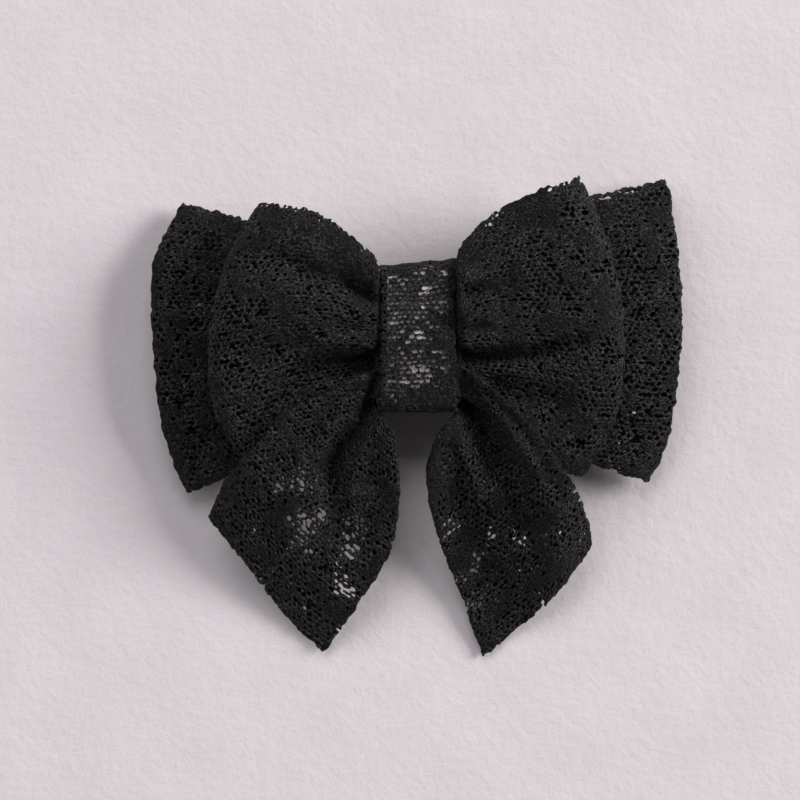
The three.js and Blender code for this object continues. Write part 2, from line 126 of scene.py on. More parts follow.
def smooth(x, start, end):
    """0 before start, 1 after end and a smooth step between them."""
    share = np.clip((x - start) / (end - start), 0, 1)
    return share * share * (3 - 2 * share)


def mix(a, b, share):
    """From a, at share 0, to b, at share 1."""
    return a + (b - a) * share


def patchiness(along, across, seed):
    """How open the lace is at each place, from 0 to 1, in patches of two sizes."""
    large = value_noise(along, across, CLUSTER_SIZE, seed)
    small = value_noise(along, across, SMALL_CLUSTER, seed + 4)
    return LARGE_SHARE * large + SMALL_SHARE * small


def hole_field(along, across, seed, openness):
    """Distance outside the nearest hole, negative in it; long axes run along the first direction."""
    drift_along = NET_DRIFT_LONG * (value_noise(along, across, 3.6, seed + 1) - 0.5)
    drift_across = NET_DRIFT_SHORT * (value_noise(along, across, 3.1, seed + 2) - 0.5)
    along = along + drift_along
    across = across + drift_across
    nearest = np.full(along.shape, 9.0)
    tables = np.random.default_rng(seed + 7).random((4, LONG_REPEAT, SHORT_REPEAT))
    row = np.floor(across / HOLE_PITCH_SHORT)
    for step in (-1, 0, 1, 2):
        j = row + step
        shift = HOLE_PITCH_LONG * 0.5 * (j % 2)
        i = np.round((along - shift) / HOLE_PITCH_LONG)
        repeat = (slice(None), i.astype(int) % LONG_REPEAT, j.astype(int) % SHORT_REPEAT)
        size, tilt, move_along, move_across = tables[repeat]
        centre_along = i * HOLE_PITCH_LONG + shift + HOLE_JITTER_LONG * (move_along - 0.5)
        centre_across = j * HOLE_PITCH_SHORT + HOLE_JITTER_SHORT * (move_across - 0.5)
        open_here = patchiness(centre_along, centre_across, seed)
        excess = open_here + HOLE_CHANCE * (size - 0.5) - (1 - openness)
        present = excess > 0
        scale = (SMALLEST_HOLE + HOLE_SIZE_RANGE * size ** 2) * (0.8 + np.clip(excess, 0, 0.3))
        angle = HOLE_TURN * (tilt - 0.5)
        da = along - centre_along
        dc = across - centre_across
        slit = smooth(openness, SLIT_FROM, SLIT_FULL)
        half_long = HOLE_LONG * scale * mix(1, SLIT_STRETCH, slit)
        half_short = HOLE_SHORT * scale * mix(1, SLIT_NARROWING, slit)
        long_way = (da * np.cos(angle) + dc * np.sin(angle)) / half_long
        short_way = (dc * np.cos(angle) - da * np.sin(angle)) / half_short
        distance = (np.hypot(long_way, short_way) - 1) * half_short
        nearest = np.where(present, np.minimum(nearest, distance), nearest)
    return nearest


def grid_normals(points):
    """Unit normals of a grid of points."""
    along = np.gradient(points, axis=0)
    across = np.gradient(points, axis=1)
    normal = np.cross(along, across)
    return normal / np.maximum(np.linalg.norm(normal, axis=2, keepdims=True), 1e-9)


def mesh_from_faces(name, vertices, every_face, on_cloth, open_here):
    """A smooth mesh of vertices in millimetres; every_face holds arrays of faces of one size each."""
    sizes = np.concatenate([np.full(len(face), face.shape[1]) for face in every_face])
    corners = np.concatenate([face.ravel() for face in every_face])
    mesh = bpy.data.meshes.new(name)
    mesh.vertices.add(len(vertices))
    mesh.vertices.foreach_set("co", (vertices * MM).ravel())
    mesh.loops.add(len(corners))
    mesh.loops.foreach_set("vertex_index", corners)
    mesh.polygons.add(len(sizes))
    mesh.polygons.foreach_set("loop_start", np.concatenate([[0], np.cumsum(sizes)[:-1]]))
    mesh.polygons.foreach_set("use_smooth", np.ones(len(sizes), dtype=bool))
    place_on_cloth = mesh.attributes.new("cloth", "FLOAT_VECTOR", "POINT")
    place_on_cloth.data.foreach_set("vector", on_cloth.ravel())
    openness = mesh.attributes.new("openness", "FLOAT", "POINT")
    openness.data.foreach_set("value", open_here)
    mesh.update(calc_edges=True)
    mesh.validate()
    return mesh


def fabric_mesh(name, points, inside, half, cloth, openness):
    """A closed two-sided mesh of the part of a grid of points where inside is above zero.

    half is half the thickness at each point, cloth holds each point's own place on the cloth, and
    openness is kept on the mesh for its material. A cell of the grid that the edge of the kept part
    crosses gets a face whose corners are its kept corners and the points where the edge cuts its
    sides, and the two layers are joined by a wall along that edge."""
    normals = grid_normals(points)
    rows, columns = inside.shape
    kept = inside > 0
    vertex_id = np.full((rows, columns), -1)
    vertex_id[kept] = np.arange(kept.sum())
    parts = [(points[kept], normals[kept], half[kept], cloth[kept], openness[kept])]
    count = int(kept.sum())
    cut_ids = []
    for axis in (0, 1):
        a = (slice(0, rows - 1), slice(None)) if axis == 0 else (slice(None), slice(0, columns - 1))
        b = (slice(1, rows), slice(None)) if axis == 0 else (slice(None), slice(1, columns))
        crossing = kept[a] != kept[b]
        ids = np.full(crossing.shape, -1)
        ids[crossing] = count + np.arange(crossing.sum())
        count += int(crossing.sum())
        cut_ids.append(ids)
        fa, fb = inside[a][crossing], inside[b][crossing]
        share = np.clip(fa / (fa - fb), 0.12, 0.88)[:, None]
        normal = mix(normals[a][crossing], normals[b][crossing], share)
        normal /= np.linalg.norm(normal, axis=1, keepdims=True)
        parts.append((
            mix(points[a][crossing], points[b][crossing], share),
            normal,
            np.full(len(share), EDGE_THICK),
            mix(cloth[a][crossing], cloth[b][crossing], share),
            mix(openness[a][crossing], openness[b][crossing], share[:, 0]),
        ))
    place, normal, thick, on_cloth, open_here = (np.concatenate(column) for column in zip(*parts))
    upper = place + normal * thick[:, None]
    lower = place - normal * thick[:, None]

    corner_kept = [kept[:-1, :-1], kept[1:, :-1], kept[1:, 1:], kept[:-1, 1:]]
    corner_id = [vertex_id[:-1, :-1], vertex_id[1:, :-1], vertex_id[1:, 1:], vertex_id[:-1, 1:]]
    edge_id = [cut_ids[0][:, :-1], cut_ids[1][1:, :], cut_ids[0][:, 1:], cut_ids[1][:-1, :]]
    case = sum(corner_kept[k].astype(int) << k for k in range(4))
    faces = []
    walls = []
    for kind in range(1, 16):
        where = case == kind
        if not where.any():
            continue
        corners = []
        cuts = []
        for k in range(4):
            here, following = kind >> k & 1, kind >> (k + 1) % 4 & 1
            if here:
                corners.append(corner_id[k][where])
            if here != following:
                corners.append(edge_id[k][where])
                cuts.append((len(corners) - 1, bool(here)))
        faces.append(np.stack(corners, axis=1))
        for position, (index, leaving) in enumerate(cuts):
            if leaving:
                entering = cuts[(position + 1) % len(cuts)][0]
                walls.append(np.stack([corners[index], corners[entering]], axis=1))
    wall = np.concatenate(walls)
    sides = np.stack([wall[:, 1], wall[:, 0], wall[:, 0] + count, wall[:, 1] + count], axis=1)
    every_face = faces + [face[:, ::-1] + count for face in faces] + [sides]
    return mesh_from_faces(
        name,
        np.concatenate([upper, lower]),
        every_face,
        np.concatenate([on_cloth, on_cloth]),
        np.concatenate([open_here, open_here]),
    )


def new_object(name, mesh):
    piece = bpy.data.objects.new(name, mesh)
    bpy.context.collection.objects.link(piece)
    return piece


def lace_object(name, points, along, across, edge, seed, openness, turned=False, fineness=1.0):
    """Cut the lace's holes in a shaped grid and make it an object.

    along and across are places on the flat cloth, and edge is the distance in from its cut edges.
    A turned piece's holes have their long axes across it, and fineness divides their size."""
    first, second = (across, along) if turned else (along, across)
    first, second = first * fineness, second * fineness
    inside = np.minimum(hole_field(first, second, seed, openness) / fineness, edge)
    open_here = patchiness(first, second, seed) + openness - 0.5
    rounding = np.sqrt(np.clip(inside, 0, YARN_ROUND) / YARN_ROUND)
    half = mix(EDGE_THICK, HALF_THICK, rounding)
    stitches = np.random.default_rng(seed + 9).uniform(-1, 1, along.shape)
    slubs = value_noise(along, across, 1.25, seed + 3) - 0.5
    relief = (YARN_BUMP * stitches + SLUB_BUMP * slubs) / fineness ** 2
    points = points + grid_normals(points) * relief[..., None]
    cloth = np.stack([first, second, np.clip(inside, 0, 2)], axis=2)
    return new_object(name, fabric_mesh(name, points + PLAN_ORIGIN, inside, half, cloth, open_here))


# ---- shapes of the strips ----

# A loop's edges run from the knot to the fold, and its fold from the lower corner to the upper.
# Creases are valleys in the front layer: points from the knot outward, width and depth.
# upper_edge is how open the lace is near the loop's upper edge, in both its layers.
LOOPS = {
    "back_loop_right": dict(
        bow="back",
        lower=[(8.5, -13.2), (24, -22.8), (41, -29.6), (51.7, -33.2)],
        upper=[(8.5, 13.2), (22, 26), (38.3, 32.4), (56.0, 36.5)],
        fold=[(51.7, -33.2), (56.2, -22.6), (58.4, -8.1), (59.1, 8.3), (58.2, 20.0), (56.0, 36.5)],
        creases=[
            ([(38, 8), (48, 14), (57, 17)], 2.6, 1.8),
            ([(40, -16), (50, -20), (57, -19)], 2.4, 1.6),
            ([(40, 26), (52, 31)], 2.0, 1.2),
        ],
        upper_edge=0.54,
        seed=11,
    ),
    "back_loop_left": dict(
        bow="back",
        lower=[(-8.5, -13.2), (-26, -24.6), (-44.7, -32.9), (-52.1, -35.4)],
        upper=[(-8.5, 13.2), (-24, 23), (-39, 27.3), (-52.6, 31.1)],
        fold=[(-52.1, -35.4), (-57.1, -21), (-59.1, -5), (-59.8, 11), (-58.9, 19), (-52.6, 31.1)],
        creases=[
            ([(-40, 8), (-50, 10), (-59, 15)], 2.6, 1.7),
            ([(-40, -18), (-50, -24), (-56, -25)], 2.6, 1.8),
            ([(-42, -4), (-54, -7)], 2.4, 1.0),
        ],
        upper_edge=0.58,
        seed=23,
    ),
    "front_loop_right": dict(
        bow="front",
        lower=[(8.5, -13.4), (22, -21.5), (31.6, -30.2), (36.7, -31.4)],
        upper=[(8.5, 14.4), (9.2, 20.7), (16.2, 27.8), (24.6, 32.3), (35.6, 36.4)],
        fold=[(36.7, -31.4), (44, -16.5), (45.8, 0), (44, 13.5), (40.6, 25), (35.6, 36.4)],
        creases=[
            ([(8, 8.4), (13, 9.6), (20, 12)], 1.6, 4.2),
            ([(8, -4.2), (18, -4.8), (28, -3.4), (36, -1)], 1.5, 6.0),
            ([(19, 6), (27, 9), (34, 14)], 4.0, 4.2),
            ([(8, 2.2), (14, 2.6), (20, 3.4)], 1.3, 2.2),
            ([(14, 16), (24, 23), (32, 30)], 2.6, 2.8),
            ([(18, -12), (28, -15), (38, -14)], 3.0, 3.0),
        ],
        upper_edge=0.52,
        seed=37,
    ),
    "front_loop_left": dict(
        bow="front",
        lower=[(-8.5, -13.4), (-20, -18.8), (-29.5, -26.5), (-36.5, -31)],
        upper=[(-8.5, 14.2), (-9.6, 18), (-14.0, 22.2), (-22.4, 28.2), (-34.8, 30.6)],
        fold=[(-36.5, -31), (-44, -19), (-46.4, -8), (-45.3, 6.1), (-42.4, 17.6), (-34.8, 30.6)],
        creases=[
            ([(-8, 8.0), (-13, 9.6), (-19, 13.6)], 2.2, 6.5),
            ([(-8, -5.6), (-17, -6.4), (-26, -9), (-35, -18.5)], 2.0, 7.5),
            ([(-8, 1.6), (-15, 2.4), (-24, 2.6)], 1.5, 1.4),
            ([(-22, 13), (-31, 17), (-40, 17)], 3.2, 3.6),
            ([(-27, -1), (-36, -4), (-44, -5)], 3.0, 3.2),
        ],
        upper_edge=0.72,
        seed=53,
    ),
}


def edge_share(t):
    """0 at the middle of a strip's width and 1 at its edges."""
    return (2 * t - 1) ** 2


# Levels of each bow's middle surface at the knot and at its folds, and how far its corners droop.
# Across the strip, t is 0 at the lower edge and 1 at the upper: the front layer stands rises(t)
# above the middle surface and the back layer drops(t) below it, and the front layer reaches its
# height at a share opens_by(t) of the way to the fold. The upper part of the front layer already
# stands swell_at_knot high at the knot.
LAYER_AT_KNOT = 1.35
BOWS = {
    "back": dict(
        knot_level=15.9,
        fold_level=12.6,
        droop=8.4,
        swell_at_knot=LAYER_AT_KNOT,
        rises=lambda t: mix(2.6, 4.2, edge_share(t)),
        drops=lambda t: mix(1.2, 3.4, edge_share(t)),
        opens_by=lambda t: 0.45,
        gather=0.4,
        width=69.0,
    ),
    "front": dict(
        knot_level=21.4,
        fold_level=22.3,
        droop=3.0,
        swell_at_knot=4.6,
        rises=lambda t: 1.9 + 8 * smooth(t, 0.12, 0.6) - 1.6 * smooth(t, 0.7, 1),
        drops=lambda t: 2.2,
        opens_by=lambda t: mix(0.4, 0.08, smooth(t, 0.22, 0.42)),
        gather=0.7,
        width=66.0,
    ),
}

# A tail's edges run from the middle of the knot to its corners, its end from the lower corner to
# the upper, and lower_levels along its lower edge. thin_spots are places in plan with their radius.
TAILS = {
    "left": dict(
        lower=[(0, -12.6), (-8.8, -13.2), (-9.8, -16.2), (-7.6, -18.2), (-5.2, -22.5), (-4.2, -33.5),
               (-5.9, -46.8), (-12.2, -58.2), (-21.4, -71.4)],
        upper=[(0, -4), (-9.3, -7.4), (-19.9, -12.2), (-28.9, -16.6), (-36, -24), (-43, -31.8),
               (-47.6, -41)],
        end=[(-21.4, -71.4), (-28.7, -65.4), (-34.6, -57.5), (-40.8, -48.9), (-47.4, -41)],
        lower_levels=[24.9, 24.9, 25.2, 24, 20, 15, 11, 7, 2],
        creases=[
            ([(-8, -9.6), (-12.4, -18), (-18.3, -26.2), (-19.4, -34), (-17, -44)], 2.3, 7.5),
            ([(-14, -12), (-26, -22), (-36, -34)], 2.4, 2.6),
            ([(-10, -24), (-11, -34), (-16, -48)], 2.4, 1.8),
            ([(-30, -30), (-34, -42), (-34, -50)], 3.0, 1.8),
        ],
        thin_spots=[(-25.5, -32.8, 4.5), (-12.8, -34.2, 3.2), (-27.5, -41, 3.2), (-22, -41, 3),
                    (-26, -46, 4.2), (-14.2, -41.8, 3), (-15.8, -48.6, 3.6), (-17, -57.4, 2.8)],
        seed=71,
    ),
    "right": dict(
        lower=[(0, -12.6), (8.8, -13.2), (9.8, -16.2), (7.6, -18.4), (4.2, -22.5), (2, -31),
               (4.2, -43.4), (9.3, -57), (15.2, -72.8)],
        upper=[(0, -4), (9.3, -6.4), (16.8, -11.8), (25.3, -20), (32, -29.2), (36.6, -37.2),
               (39.6, -47.2)],
        end=[(15.2, -72.8), (28.8, -61.2), (39.6, -47.2)],
        lower_levels=[24.9, 24.9, 25.2, 23.5, 17.5, 10.5, 5.8, 3.2, 1.5],
        creases=[
            ([(8.6, -9.8), (12.2, -17), (16.8, -25.6), (21.5, -33), (24.5, -41)], 3.0, 11),
            ([(14, -12), (23, -21), (31, -35)], 1.8, 2.6),
            ([(8, -26), (9, -40), (14, -54)], 2.6, 1.8),
            ([(27, -34), (28, -46), (26, -56)], 3.0, 1.6),
        ],
        thin_spots=[(7.6, -43.2, 3.2), (11.8, -52.4, 4.8), (27.5, -44.3, 2.6)],
        seed=89,
    ),
}
TAIL_UPPER_LEVELS = [24.9, 25, 27.4, 27.6, 27, 26.4, 23.5, 17, 10]
LACE_SPREAD = 1.01         # the outlines' growth that makes up for the scallops' depth
TAIL_GAP = 0.75            # from a tail's middle level to each of its two layers
LOWEST_TAIL = 1.2          # the least height of a tail's middle level
TAIL_RUN = 60              # a tail's rough length, for the bumps along its folded sides
OTHER_SIDE_SHIFT = 7       # moves the bumps on one side away from those on the other
END_SHIFT = 50             # moves the waves of a tail's ends away from other noise
KNOT_RUN = 40              # how far a loop's strip would run inside the knot for 1 of w
GATHERS = 4.3              # waves across a strip beside the knot
FINE_GATHERS = 7.9
GATHER_REACH = 9           # distance from the knot over which they fade
GATHER_START = 1.5         # and over which they first rise
FOLD_BLUNTNESS = 6         # the higher, the blunter a loop's fold
TAIL_BLUNTNESS = 8         # the same for a tail's two folded sides
RIPPLE_SIZE = 10           # size and height of a loop's shallow ripples
RIPPLE_HEIGHT = 1.3
TAIL_RIPPLE_SIZE = 8
TAIL_RIPPLE_HEIGHT = 1.6
CREASE_FADE = 0.5          # what a crease loses of its depth by its outer end
CREASE_WIDENING = 0.6      # and gains in width
SHARED_CREASE = 1.2        # how deep the front layer's creases may press into the back one
LEAST_GAP = 1.1            # between a loop's two layers, away from its fold


def spline_points(control, shares):
    """Catmull-Rom curve through the control points, at shares of its index range."""
    control = np.asarray(control, float)
    last = len(control) - 1
    place = np.clip(shares, 0, 1) * last
    index = np.minimum(np.floor(place).astype(int), last - 1)
    t = (place - index)[..., None]
    p0 = control[np.maximum(index - 1, 0)]
    p1 = control[index]
    p2 = control[index + 1]
    p3 = control[np.minimum(index + 2, last)]
    v0 = (p2 - p0) / 2
    v1 = (p3 - p1) / 2
    return (2 * p1 - 2 * p2 + v0 + v1) * t ** 3 + (3 * p2 - 3 * p1 - 2 * v0 - v1) * t ** 2 + v0 * t + p1


def curve_points(control, shares):
    """The same curve at shares of its length."""
    fine = np.linspace(0, 1, 400)
    points = spline_points(control, fine)
    steps = np.linalg.norm(np.diff(points, axis=0), axis=1)
    length = np.concatenate([[0], np.cumsum(steps)])
    wanted = np.interp(np.asarray(shares) * length[-1], length, fine)
    return spline_points(control, wanted)


def plan_patch(lower, upper, end, r, t):
    """Ruled surface in plan between two edges, bending with its curved end as it nears it."""
    low = curve_points(lower, r)
    high = curve_points(upper, r)
    end = np.asarray(end, float)
    straight = mix(end[0], end[-1], t[..., None])
    bend = curve_points(end, t) - straight
    return LACE_SPREAD * (mix(low, high, t[..., None]) + bend * r[..., None])


def valley(x, y, creases):
    """Depth of the creases at each place in plan."""
    depth = np.zeros_like(x)
    steps = 24
    for points, width, deep in creases:
        line = spline_points(points, np.linspace(0, 1, steps))
        gap = np.full(x.shape, 1e9)
        share = np.zeros_like(x)
        for k, (px, py) in enumerate(line):
            distance = (x - px) ** 2 + (y - py) ** 2
            closer = distance < gap
            gap = np.where(closer, distance, gap)
            share = np.where(closer, k / (steps - 1), share)
        fade = 1 - CREASE_FADE * smooth(share, 0.5, 1)
        spread = width * (1 + CREASE_WIDENING * share)
        depth = np.maximum(depth, deep * fade * np.exp(-gap / spread ** 2))
    return depth


def spaced_out(shares, points, step):
    """Pick shares along a line of points so that they lie a step apart, and their places on it.

    The step may change along the line."""
    lengths = np.linalg.norm(np.diff(points, axis=0), axis=1)
    total = np.concatenate([[0], np.cumsum(lengths)])
    counted = np.concatenate([[0], np.cumsum(lengths / np.broadcast_to(step, shares.shape)[1:])])
    wanted = np.linspace(0, counted[-1], round(counted[-1]) + 1)
    return np.interp(wanted, counted, shares), np.interp(wanted, counted, total)


def loop_points(loop, w, t):
    """A loop's surface: w runs 0 to 1 on the front layer and 1 to 2 on the back layer."""
    bow = BOWS[loop["bow"]]
    along = np.where(w <= 1, w, 2 - w)
    r = np.sin(np.clip(along, 0, 1) * math.pi / 2)
    plan = plan_patch(loop["lower"], loop["upper"], loop["fold"], r, t)
    side = np.sign(loop["fold"][0][0])
    x = np.where(along < 0, side * (KNOT_HALF_WIDTH - 0.4 + along * KNOT_RUN), plan[..., 0])
    y = plan[..., 1]
    bumps = value_noise(y + NOISE_SHIFT, y * 0, 1.3, loop["seed"] + 8) - 0.5
    x = x + side * FOLD_BUMP * bumps * smooth(r, 0.97, 1)
    closing = np.sqrt(np.maximum(0, 1 - r ** FOLD_BLUNTNESS))
    opening = smooth(r, 0, 0.45)
    front_opening = smooth(r, 0, bow["opens_by"](t))
    outward = np.maximum(np.abs(x) - KNOT_HALF_WIDTH, 0)

    level = mix(bow["knot_level"], bow["fold_level"], r) - bow["droop"] * r * edge_share(t)
    near = np.exp(-outward / GATHER_REACH) * (1 - np.exp(-outward / GATHER_START))
    waves = np.sin(2 * math.pi * GATHERS * t + loop["seed"])
    waves = waves + 0.7 * np.sin(2 * math.pi * FINE_GATHERS * t)
    level = level + bow["gather"] * near * waves
    ripple = value_noise(x + NOISE_SHIFT, y + NOISE_SHIFT, RIPPLE_SIZE, loop["seed"]) - 0.5
    level = level + RIPPLE_HEIGHT * ripple * smooth(outward, 3, 16) * closing

    crease = valley(x, y, loop["creases"]) * smooth(outward, 0, 1.6)
    shared = np.minimum(crease, SHARED_CREASE) * (1 - opening)
    back = level - mix(LAYER_AT_KNOT, bow["drops"](t), opening) * closing - shared
    at_knot = mix(LAYER_AT_KNOT, bow["swell_at_knot"], smooth(t, 0.32, 0.55))
    front = level + mix(at_knot, bow["rises"](t), front_opening) * closing
    front = np.maximum(front - crease * closing, back + LEAST_GAP * closing)
    return np.stack([x, y, np.where(w <= 1, front, back)], axis=-1)


def edge_margin(distance, along, seed):
    """Distance in from a cut edge that waves with the lace's scallops and stray loops."""
    wave = np.zeros_like(along)
    for length, depth, extra in SCALLOPS:
        wave = wave + depth * value_noise(along, along * 0, length, seed + extra)
    return distance - wave


def bow_loop(name, loop):
    """One loop of a bow, from inside the knot round its fold and back, as its object and cut size."""
    width = BOWS[loop["bow"]]["width"]
    inner = -(KNOT_HALF_WIDTH - 1.2) / KNOT_RUN
    fine = np.linspace(inner, 2 - inner, 1200)
    middle = loop_points(loop, fine, np.full_like(fine, 0.5))
    w_line, places = spaced_out(fine, middle, np.where(fine < 1.1, MESH_STEP, HIDDEN_STEP))
    t_line = np.linspace(0, 1, round(width / MESH_STEP) + 1)
    w, t = np.meshgrid(w_line, t_line, indexing="ij")
    points = loop_points(loop, w, t)
    local_width = np.linalg.norm(np.diff(points, axis=1), axis=2).sum(axis=1)
    pattern_width = local_width ** 0.45 * width ** 0.55
    mirrored = np.where(w_line <= 1, places, np.interp(2 - w_line, w_line, places))
    along = np.broadcast_to(mirrored[:, None], t.shape)
    across = (t - 0.5) * pattern_width[:, None]
    from_sides = np.minimum(t, 1 - t) * local_width[:, None]
    from_ends = np.broadcast_to(np.minimum(places, places[-1] - places)[:, None], t.shape)
    along_edge = along + OTHER_EDGE_SHIFT * (t > 0.5)
    edge = np.minimum(edge_margin(from_sides, along_edge, loop["seed"]), from_ends - 0.2)
    openness = mix(FRONT_OPENNESS, BACK_OPENNESS, smooth(w, 0.9, 1.1))
    at_edge = 1 - smooth(from_sides, 1, 4)
    openness = mix(openness, np.where(t > 0.5, loop["upper_edge"], EDGE_OPENNESS), at_edge)
    piece = lace_object(name, points, along, across, edge, loop["seed"], openness)
    return piece, places[-1], width


def tail_points(tail, r, u):
    """A tail's surface: u runs 0 to 1 on the front layer, and beyond them round on the back one."""
    t = np.abs(u)
    t = np.where(t > 1, 2 - t, t)
    bumps = value_noise(r * TAIL_RUN, np.round(t) * OTHER_SIDE_SHIFT, 1.2, tail["seed"] + 8) - 0.5
    at_fold = smooth(np.abs(2 * t - 1), 0.9, 1)
    bumpy = t + TAIL_FOLD_BUMP * bumps * at_fold
    plan = plan_patch(tail["lower"], tail["upper"], tail["end"], r, bumpy)
    x, y = plan[..., 0], plan[..., 1]
    low = spline_points(list(enumerate(tail["lower_levels"])), r)[..., 1]
    high = spline_points(list(enumerate(TAIL_UPPER_LEVELS)), r)[..., 1]
    z = mix(low, high, smooth(t, 0.15, 0.8))
    flat_end = 1 - smooth(r, 0.85, 1)
    ripple = value_noise(x + NOISE_SHIFT, y + NOISE_SHIFT, TAIL_RIPPLE_SIZE, tail["seed"]) - 0.5
    z = z + TAIL_RIPPLE_HEIGHT * ripple * smooth(r, 0.25, 0.5) * flat_end
    z = z - valley(x, y, tail["creases"]) * smooth(r, 0.1, 0.2) * (0.25 + 0.75 * flat_end)
    rounding = np.sqrt(np.maximum(0, 1 - np.abs(2 * t - 1) ** TAIL_BLUNTNESS))
    gap = TAIL_GAP * rounding * mix(0.45, 1, flat_end) * mix(0.5, 1, smooth(r, 0, 0.2))
    front = (u >= 0) & (u <= 1)
    return np.stack([x, y, np.maximum(z, LOWEST_TAIL) + np.where(front, gap, -gap)], axis=-1)


def tail_piece(name, tail):
    """A flat tube of lace with its seam down the middle of its back, as its object and cut size."""
    fine = np.linspace(0.02, 1, 600)
    middle = tail_points(tail, fine, np.full_like(fine, 0.5))
    r_line, places = spaced_out(fine, middle, MESH_STEP)
    end_width = math.dist(tail["lower"][-1], tail["upper"][-1])
    u_fine = np.linspace(-0.5, 1.5, 400)
    across_line = u_fine[:, None] * [1.2 * end_width, 0]
    in_front = np.abs(u_fine - 0.5) < 0.55
    u_line, _ = spaced_out(u_fine, across_line, np.where(in_front, MESH_STEP, HIDDEN_STEP))
    r, u = np.meshgrid(r_line, u_line, indexing="ij")
    points = tail_points(tail, r, u)
    local_width = np.linalg.norm(np.diff(points, axis=1), axis=2).sum(axis=1) / 2
    pattern_width = local_width ** 0.5 * end_width ** 0.5
    along = np.broadcast_to(places[:, None], u.shape)
    from_middle = np.where(np.abs(u - 0.5) <= 0.5, u - 0.5, np.sign(u - 0.5) - (u - 0.5))
    across = from_middle * pattern_width[:, None]
    from_seam = np.minimum(u + 0.5, 1.5 - u) * local_width[:, None]
    from_ends = np.minimum(along, places[-1] - along)
    edge = np.minimum(from_seam - 0.1, edge_margin(from_ends, across + END_SHIFT, tail["seed"]))
    openness = mix(FRONT_OPENNESS, TAIL_BACK_OPENNESS, smooth(np.abs(u - 0.5), 0.45, 0.55))
    for x, y, radius in tail["thin_spots"]:
        distance = np.hypot(points[..., 0] - x, points[..., 1] - y)
        thin = np.exp(-(distance / radius) ** 2)
        openness = mix(openness, THIN_SPOT_OPENNESS, thin)
    piece = lace_object(name, points, along, across, edge, tail["seed"], openness, turned=True)
    return piece, places[-1], 2 * end_width


# ---- knot ----


BAND_LENGTH = 96           # a little over the length of a band round the knot
CORNER_STEPS = 16
KNOT_LACE_STEP = 0.28      # spacing of each mesh's points
SATIN_STEP = 0.7
FELT_STEP = 0.5
LACE_INSET = 0.4           # from the CAD band's surface to the middle of the lace
SATIN_INSET = 1.15         # and of the satin
LACE_CORNER = 3.6          # radius of the bands' corners
SATIN_CORNER = 3.0
SATIN_MARGIN = 1.6         # how much narrower than the CAD band the satin is, on each side
SATIN_HALF_THICK = 0.25
KNOT_NOISE_SHIFT = 50
CLEARANCE = 0.05           # between the felt and the box of its node


def ring_profile(low, high, corner, count):
    """Points round a rectangle with round corners in Y and Z, starting under its middle."""
    (y0, z0), (y1, z1) = low, high
    arcs = [
        ((y1 - corner, z0 + corner), -90),
        ((y1 - corner, z1 - corner), 0),
        ((y0 + corner, z1 - corner), 90),
        ((y0 + corner, z0 + corner), 180),
    ]
    outline = [((y0 + y1) / 2, z0)]
    for (cy, cz), start in arcs:
        for angle in np.radians(np.linspace(start, start + 90, CORNER_STEPS)):
            outline.append((cy + corner * math.cos(angle), cz + corner * math.sin(angle)))
    outline.append(outline[0])
    outline = np.array(outline)
    lengths = np.linalg.norm(np.diff(outline, axis=0), axis=1)
    total = np.concatenate([[0], np.cumsum(lengths)])
    places = np.linspace(0, total[-1], count)
    return np.stack([np.interp(places, total, outline[:, k]) for k in (0, 1)], axis=1), places


def knot_surface(inset, half_width, corner, step):
    """The wrapped band's surface, a given distance inside the CAD band, creased along its length.

    Returns its points, the places along its profile, and each point's place along and across it."""
    profile, places = ring_profile(
        (KNOT_LOW[1] + inset, KNOT_LOW[2] + inset),
        (KNOT_HIGH[1] - inset, KNOT_HIGH[2] - inset),
        corner,
        round(BAND_LENGTH / step),
    )
    across_line = np.linspace(-1, 1, round(2 * half_width / step) + 1)
    index, across = np.meshgrid(np.arange(len(profile)), across_line, indexing="ij")
    y = profile[index, 0]
    z = profile[index, 1]
    from_middle = (y - KNOT_CENTRE[1]) / (KNOT_HIGH[1] - KNOT_CENTRE[1])
    x = KNOT_CENTRE[0] + across * half_width * (0.97 + 0.06 * from_middle ** 2)
    crown = smooth(z, KNOT_CENTRE[2], KNOT_HIGH[2] - 1)
    creases = 0.8 * value_noise(x + KNOT_NOISE_SHIFT, y * 0.1, 2.3, 5)
    z = z - crown * (0.5 * across ** 4 + creases)
    uneven = 0.5 * (value_noise(x + KNOT_NOISE_SHIFT, x * 0, 2.8, 3) - 0.5)
    slant = 0.11 * (x - KNOT_CENTRE[0]) + uneven
    y = y + slant * smooth(y, KNOT_CENTRE[1], KNOT_HIGH[1])
    return np.stack([x, y, z], axis=-1) - PLAN_ORIGIN, places, places[index], across


def knot_lace():
    """The lace band wrapped round the middle, closest at its sides and ends."""
    points, places, along, across = knot_surface(
        LACE_INSET, KNOT_HALF_WIDTH - 0.1, LACE_CORNER, KNOT_LACE_STEP)
    from_sides = (1 - np.abs(across)) * KNOT_HALF_WIDTH
    from_ends = np.minimum(along, places[-1] - along) - 0.1
    scalloped = np.minimum(edge_margin(from_sides, along, 17) + 0.4, from_sides - 0.06)
    edge = np.minimum(scalloped, from_ends)
    reach = across * KNOT_HALF_WIDTH
    y = points[..., 1]
    openness = 0.64 - 0.3 * smooth(np.abs(across), 0.75, 0.95) - 0.2 * smooth(y, 12, 15)
    openness = openness - 0.3 * smooth(-y, 9, 13) - 0.1 * across
    piece = lace_object(
        "knot_lace", points, along, reach, edge, 103, openness, turned=True, fineness=1.1)
    return piece, places[-1], 2 * KNOT_HALF_WIDTH


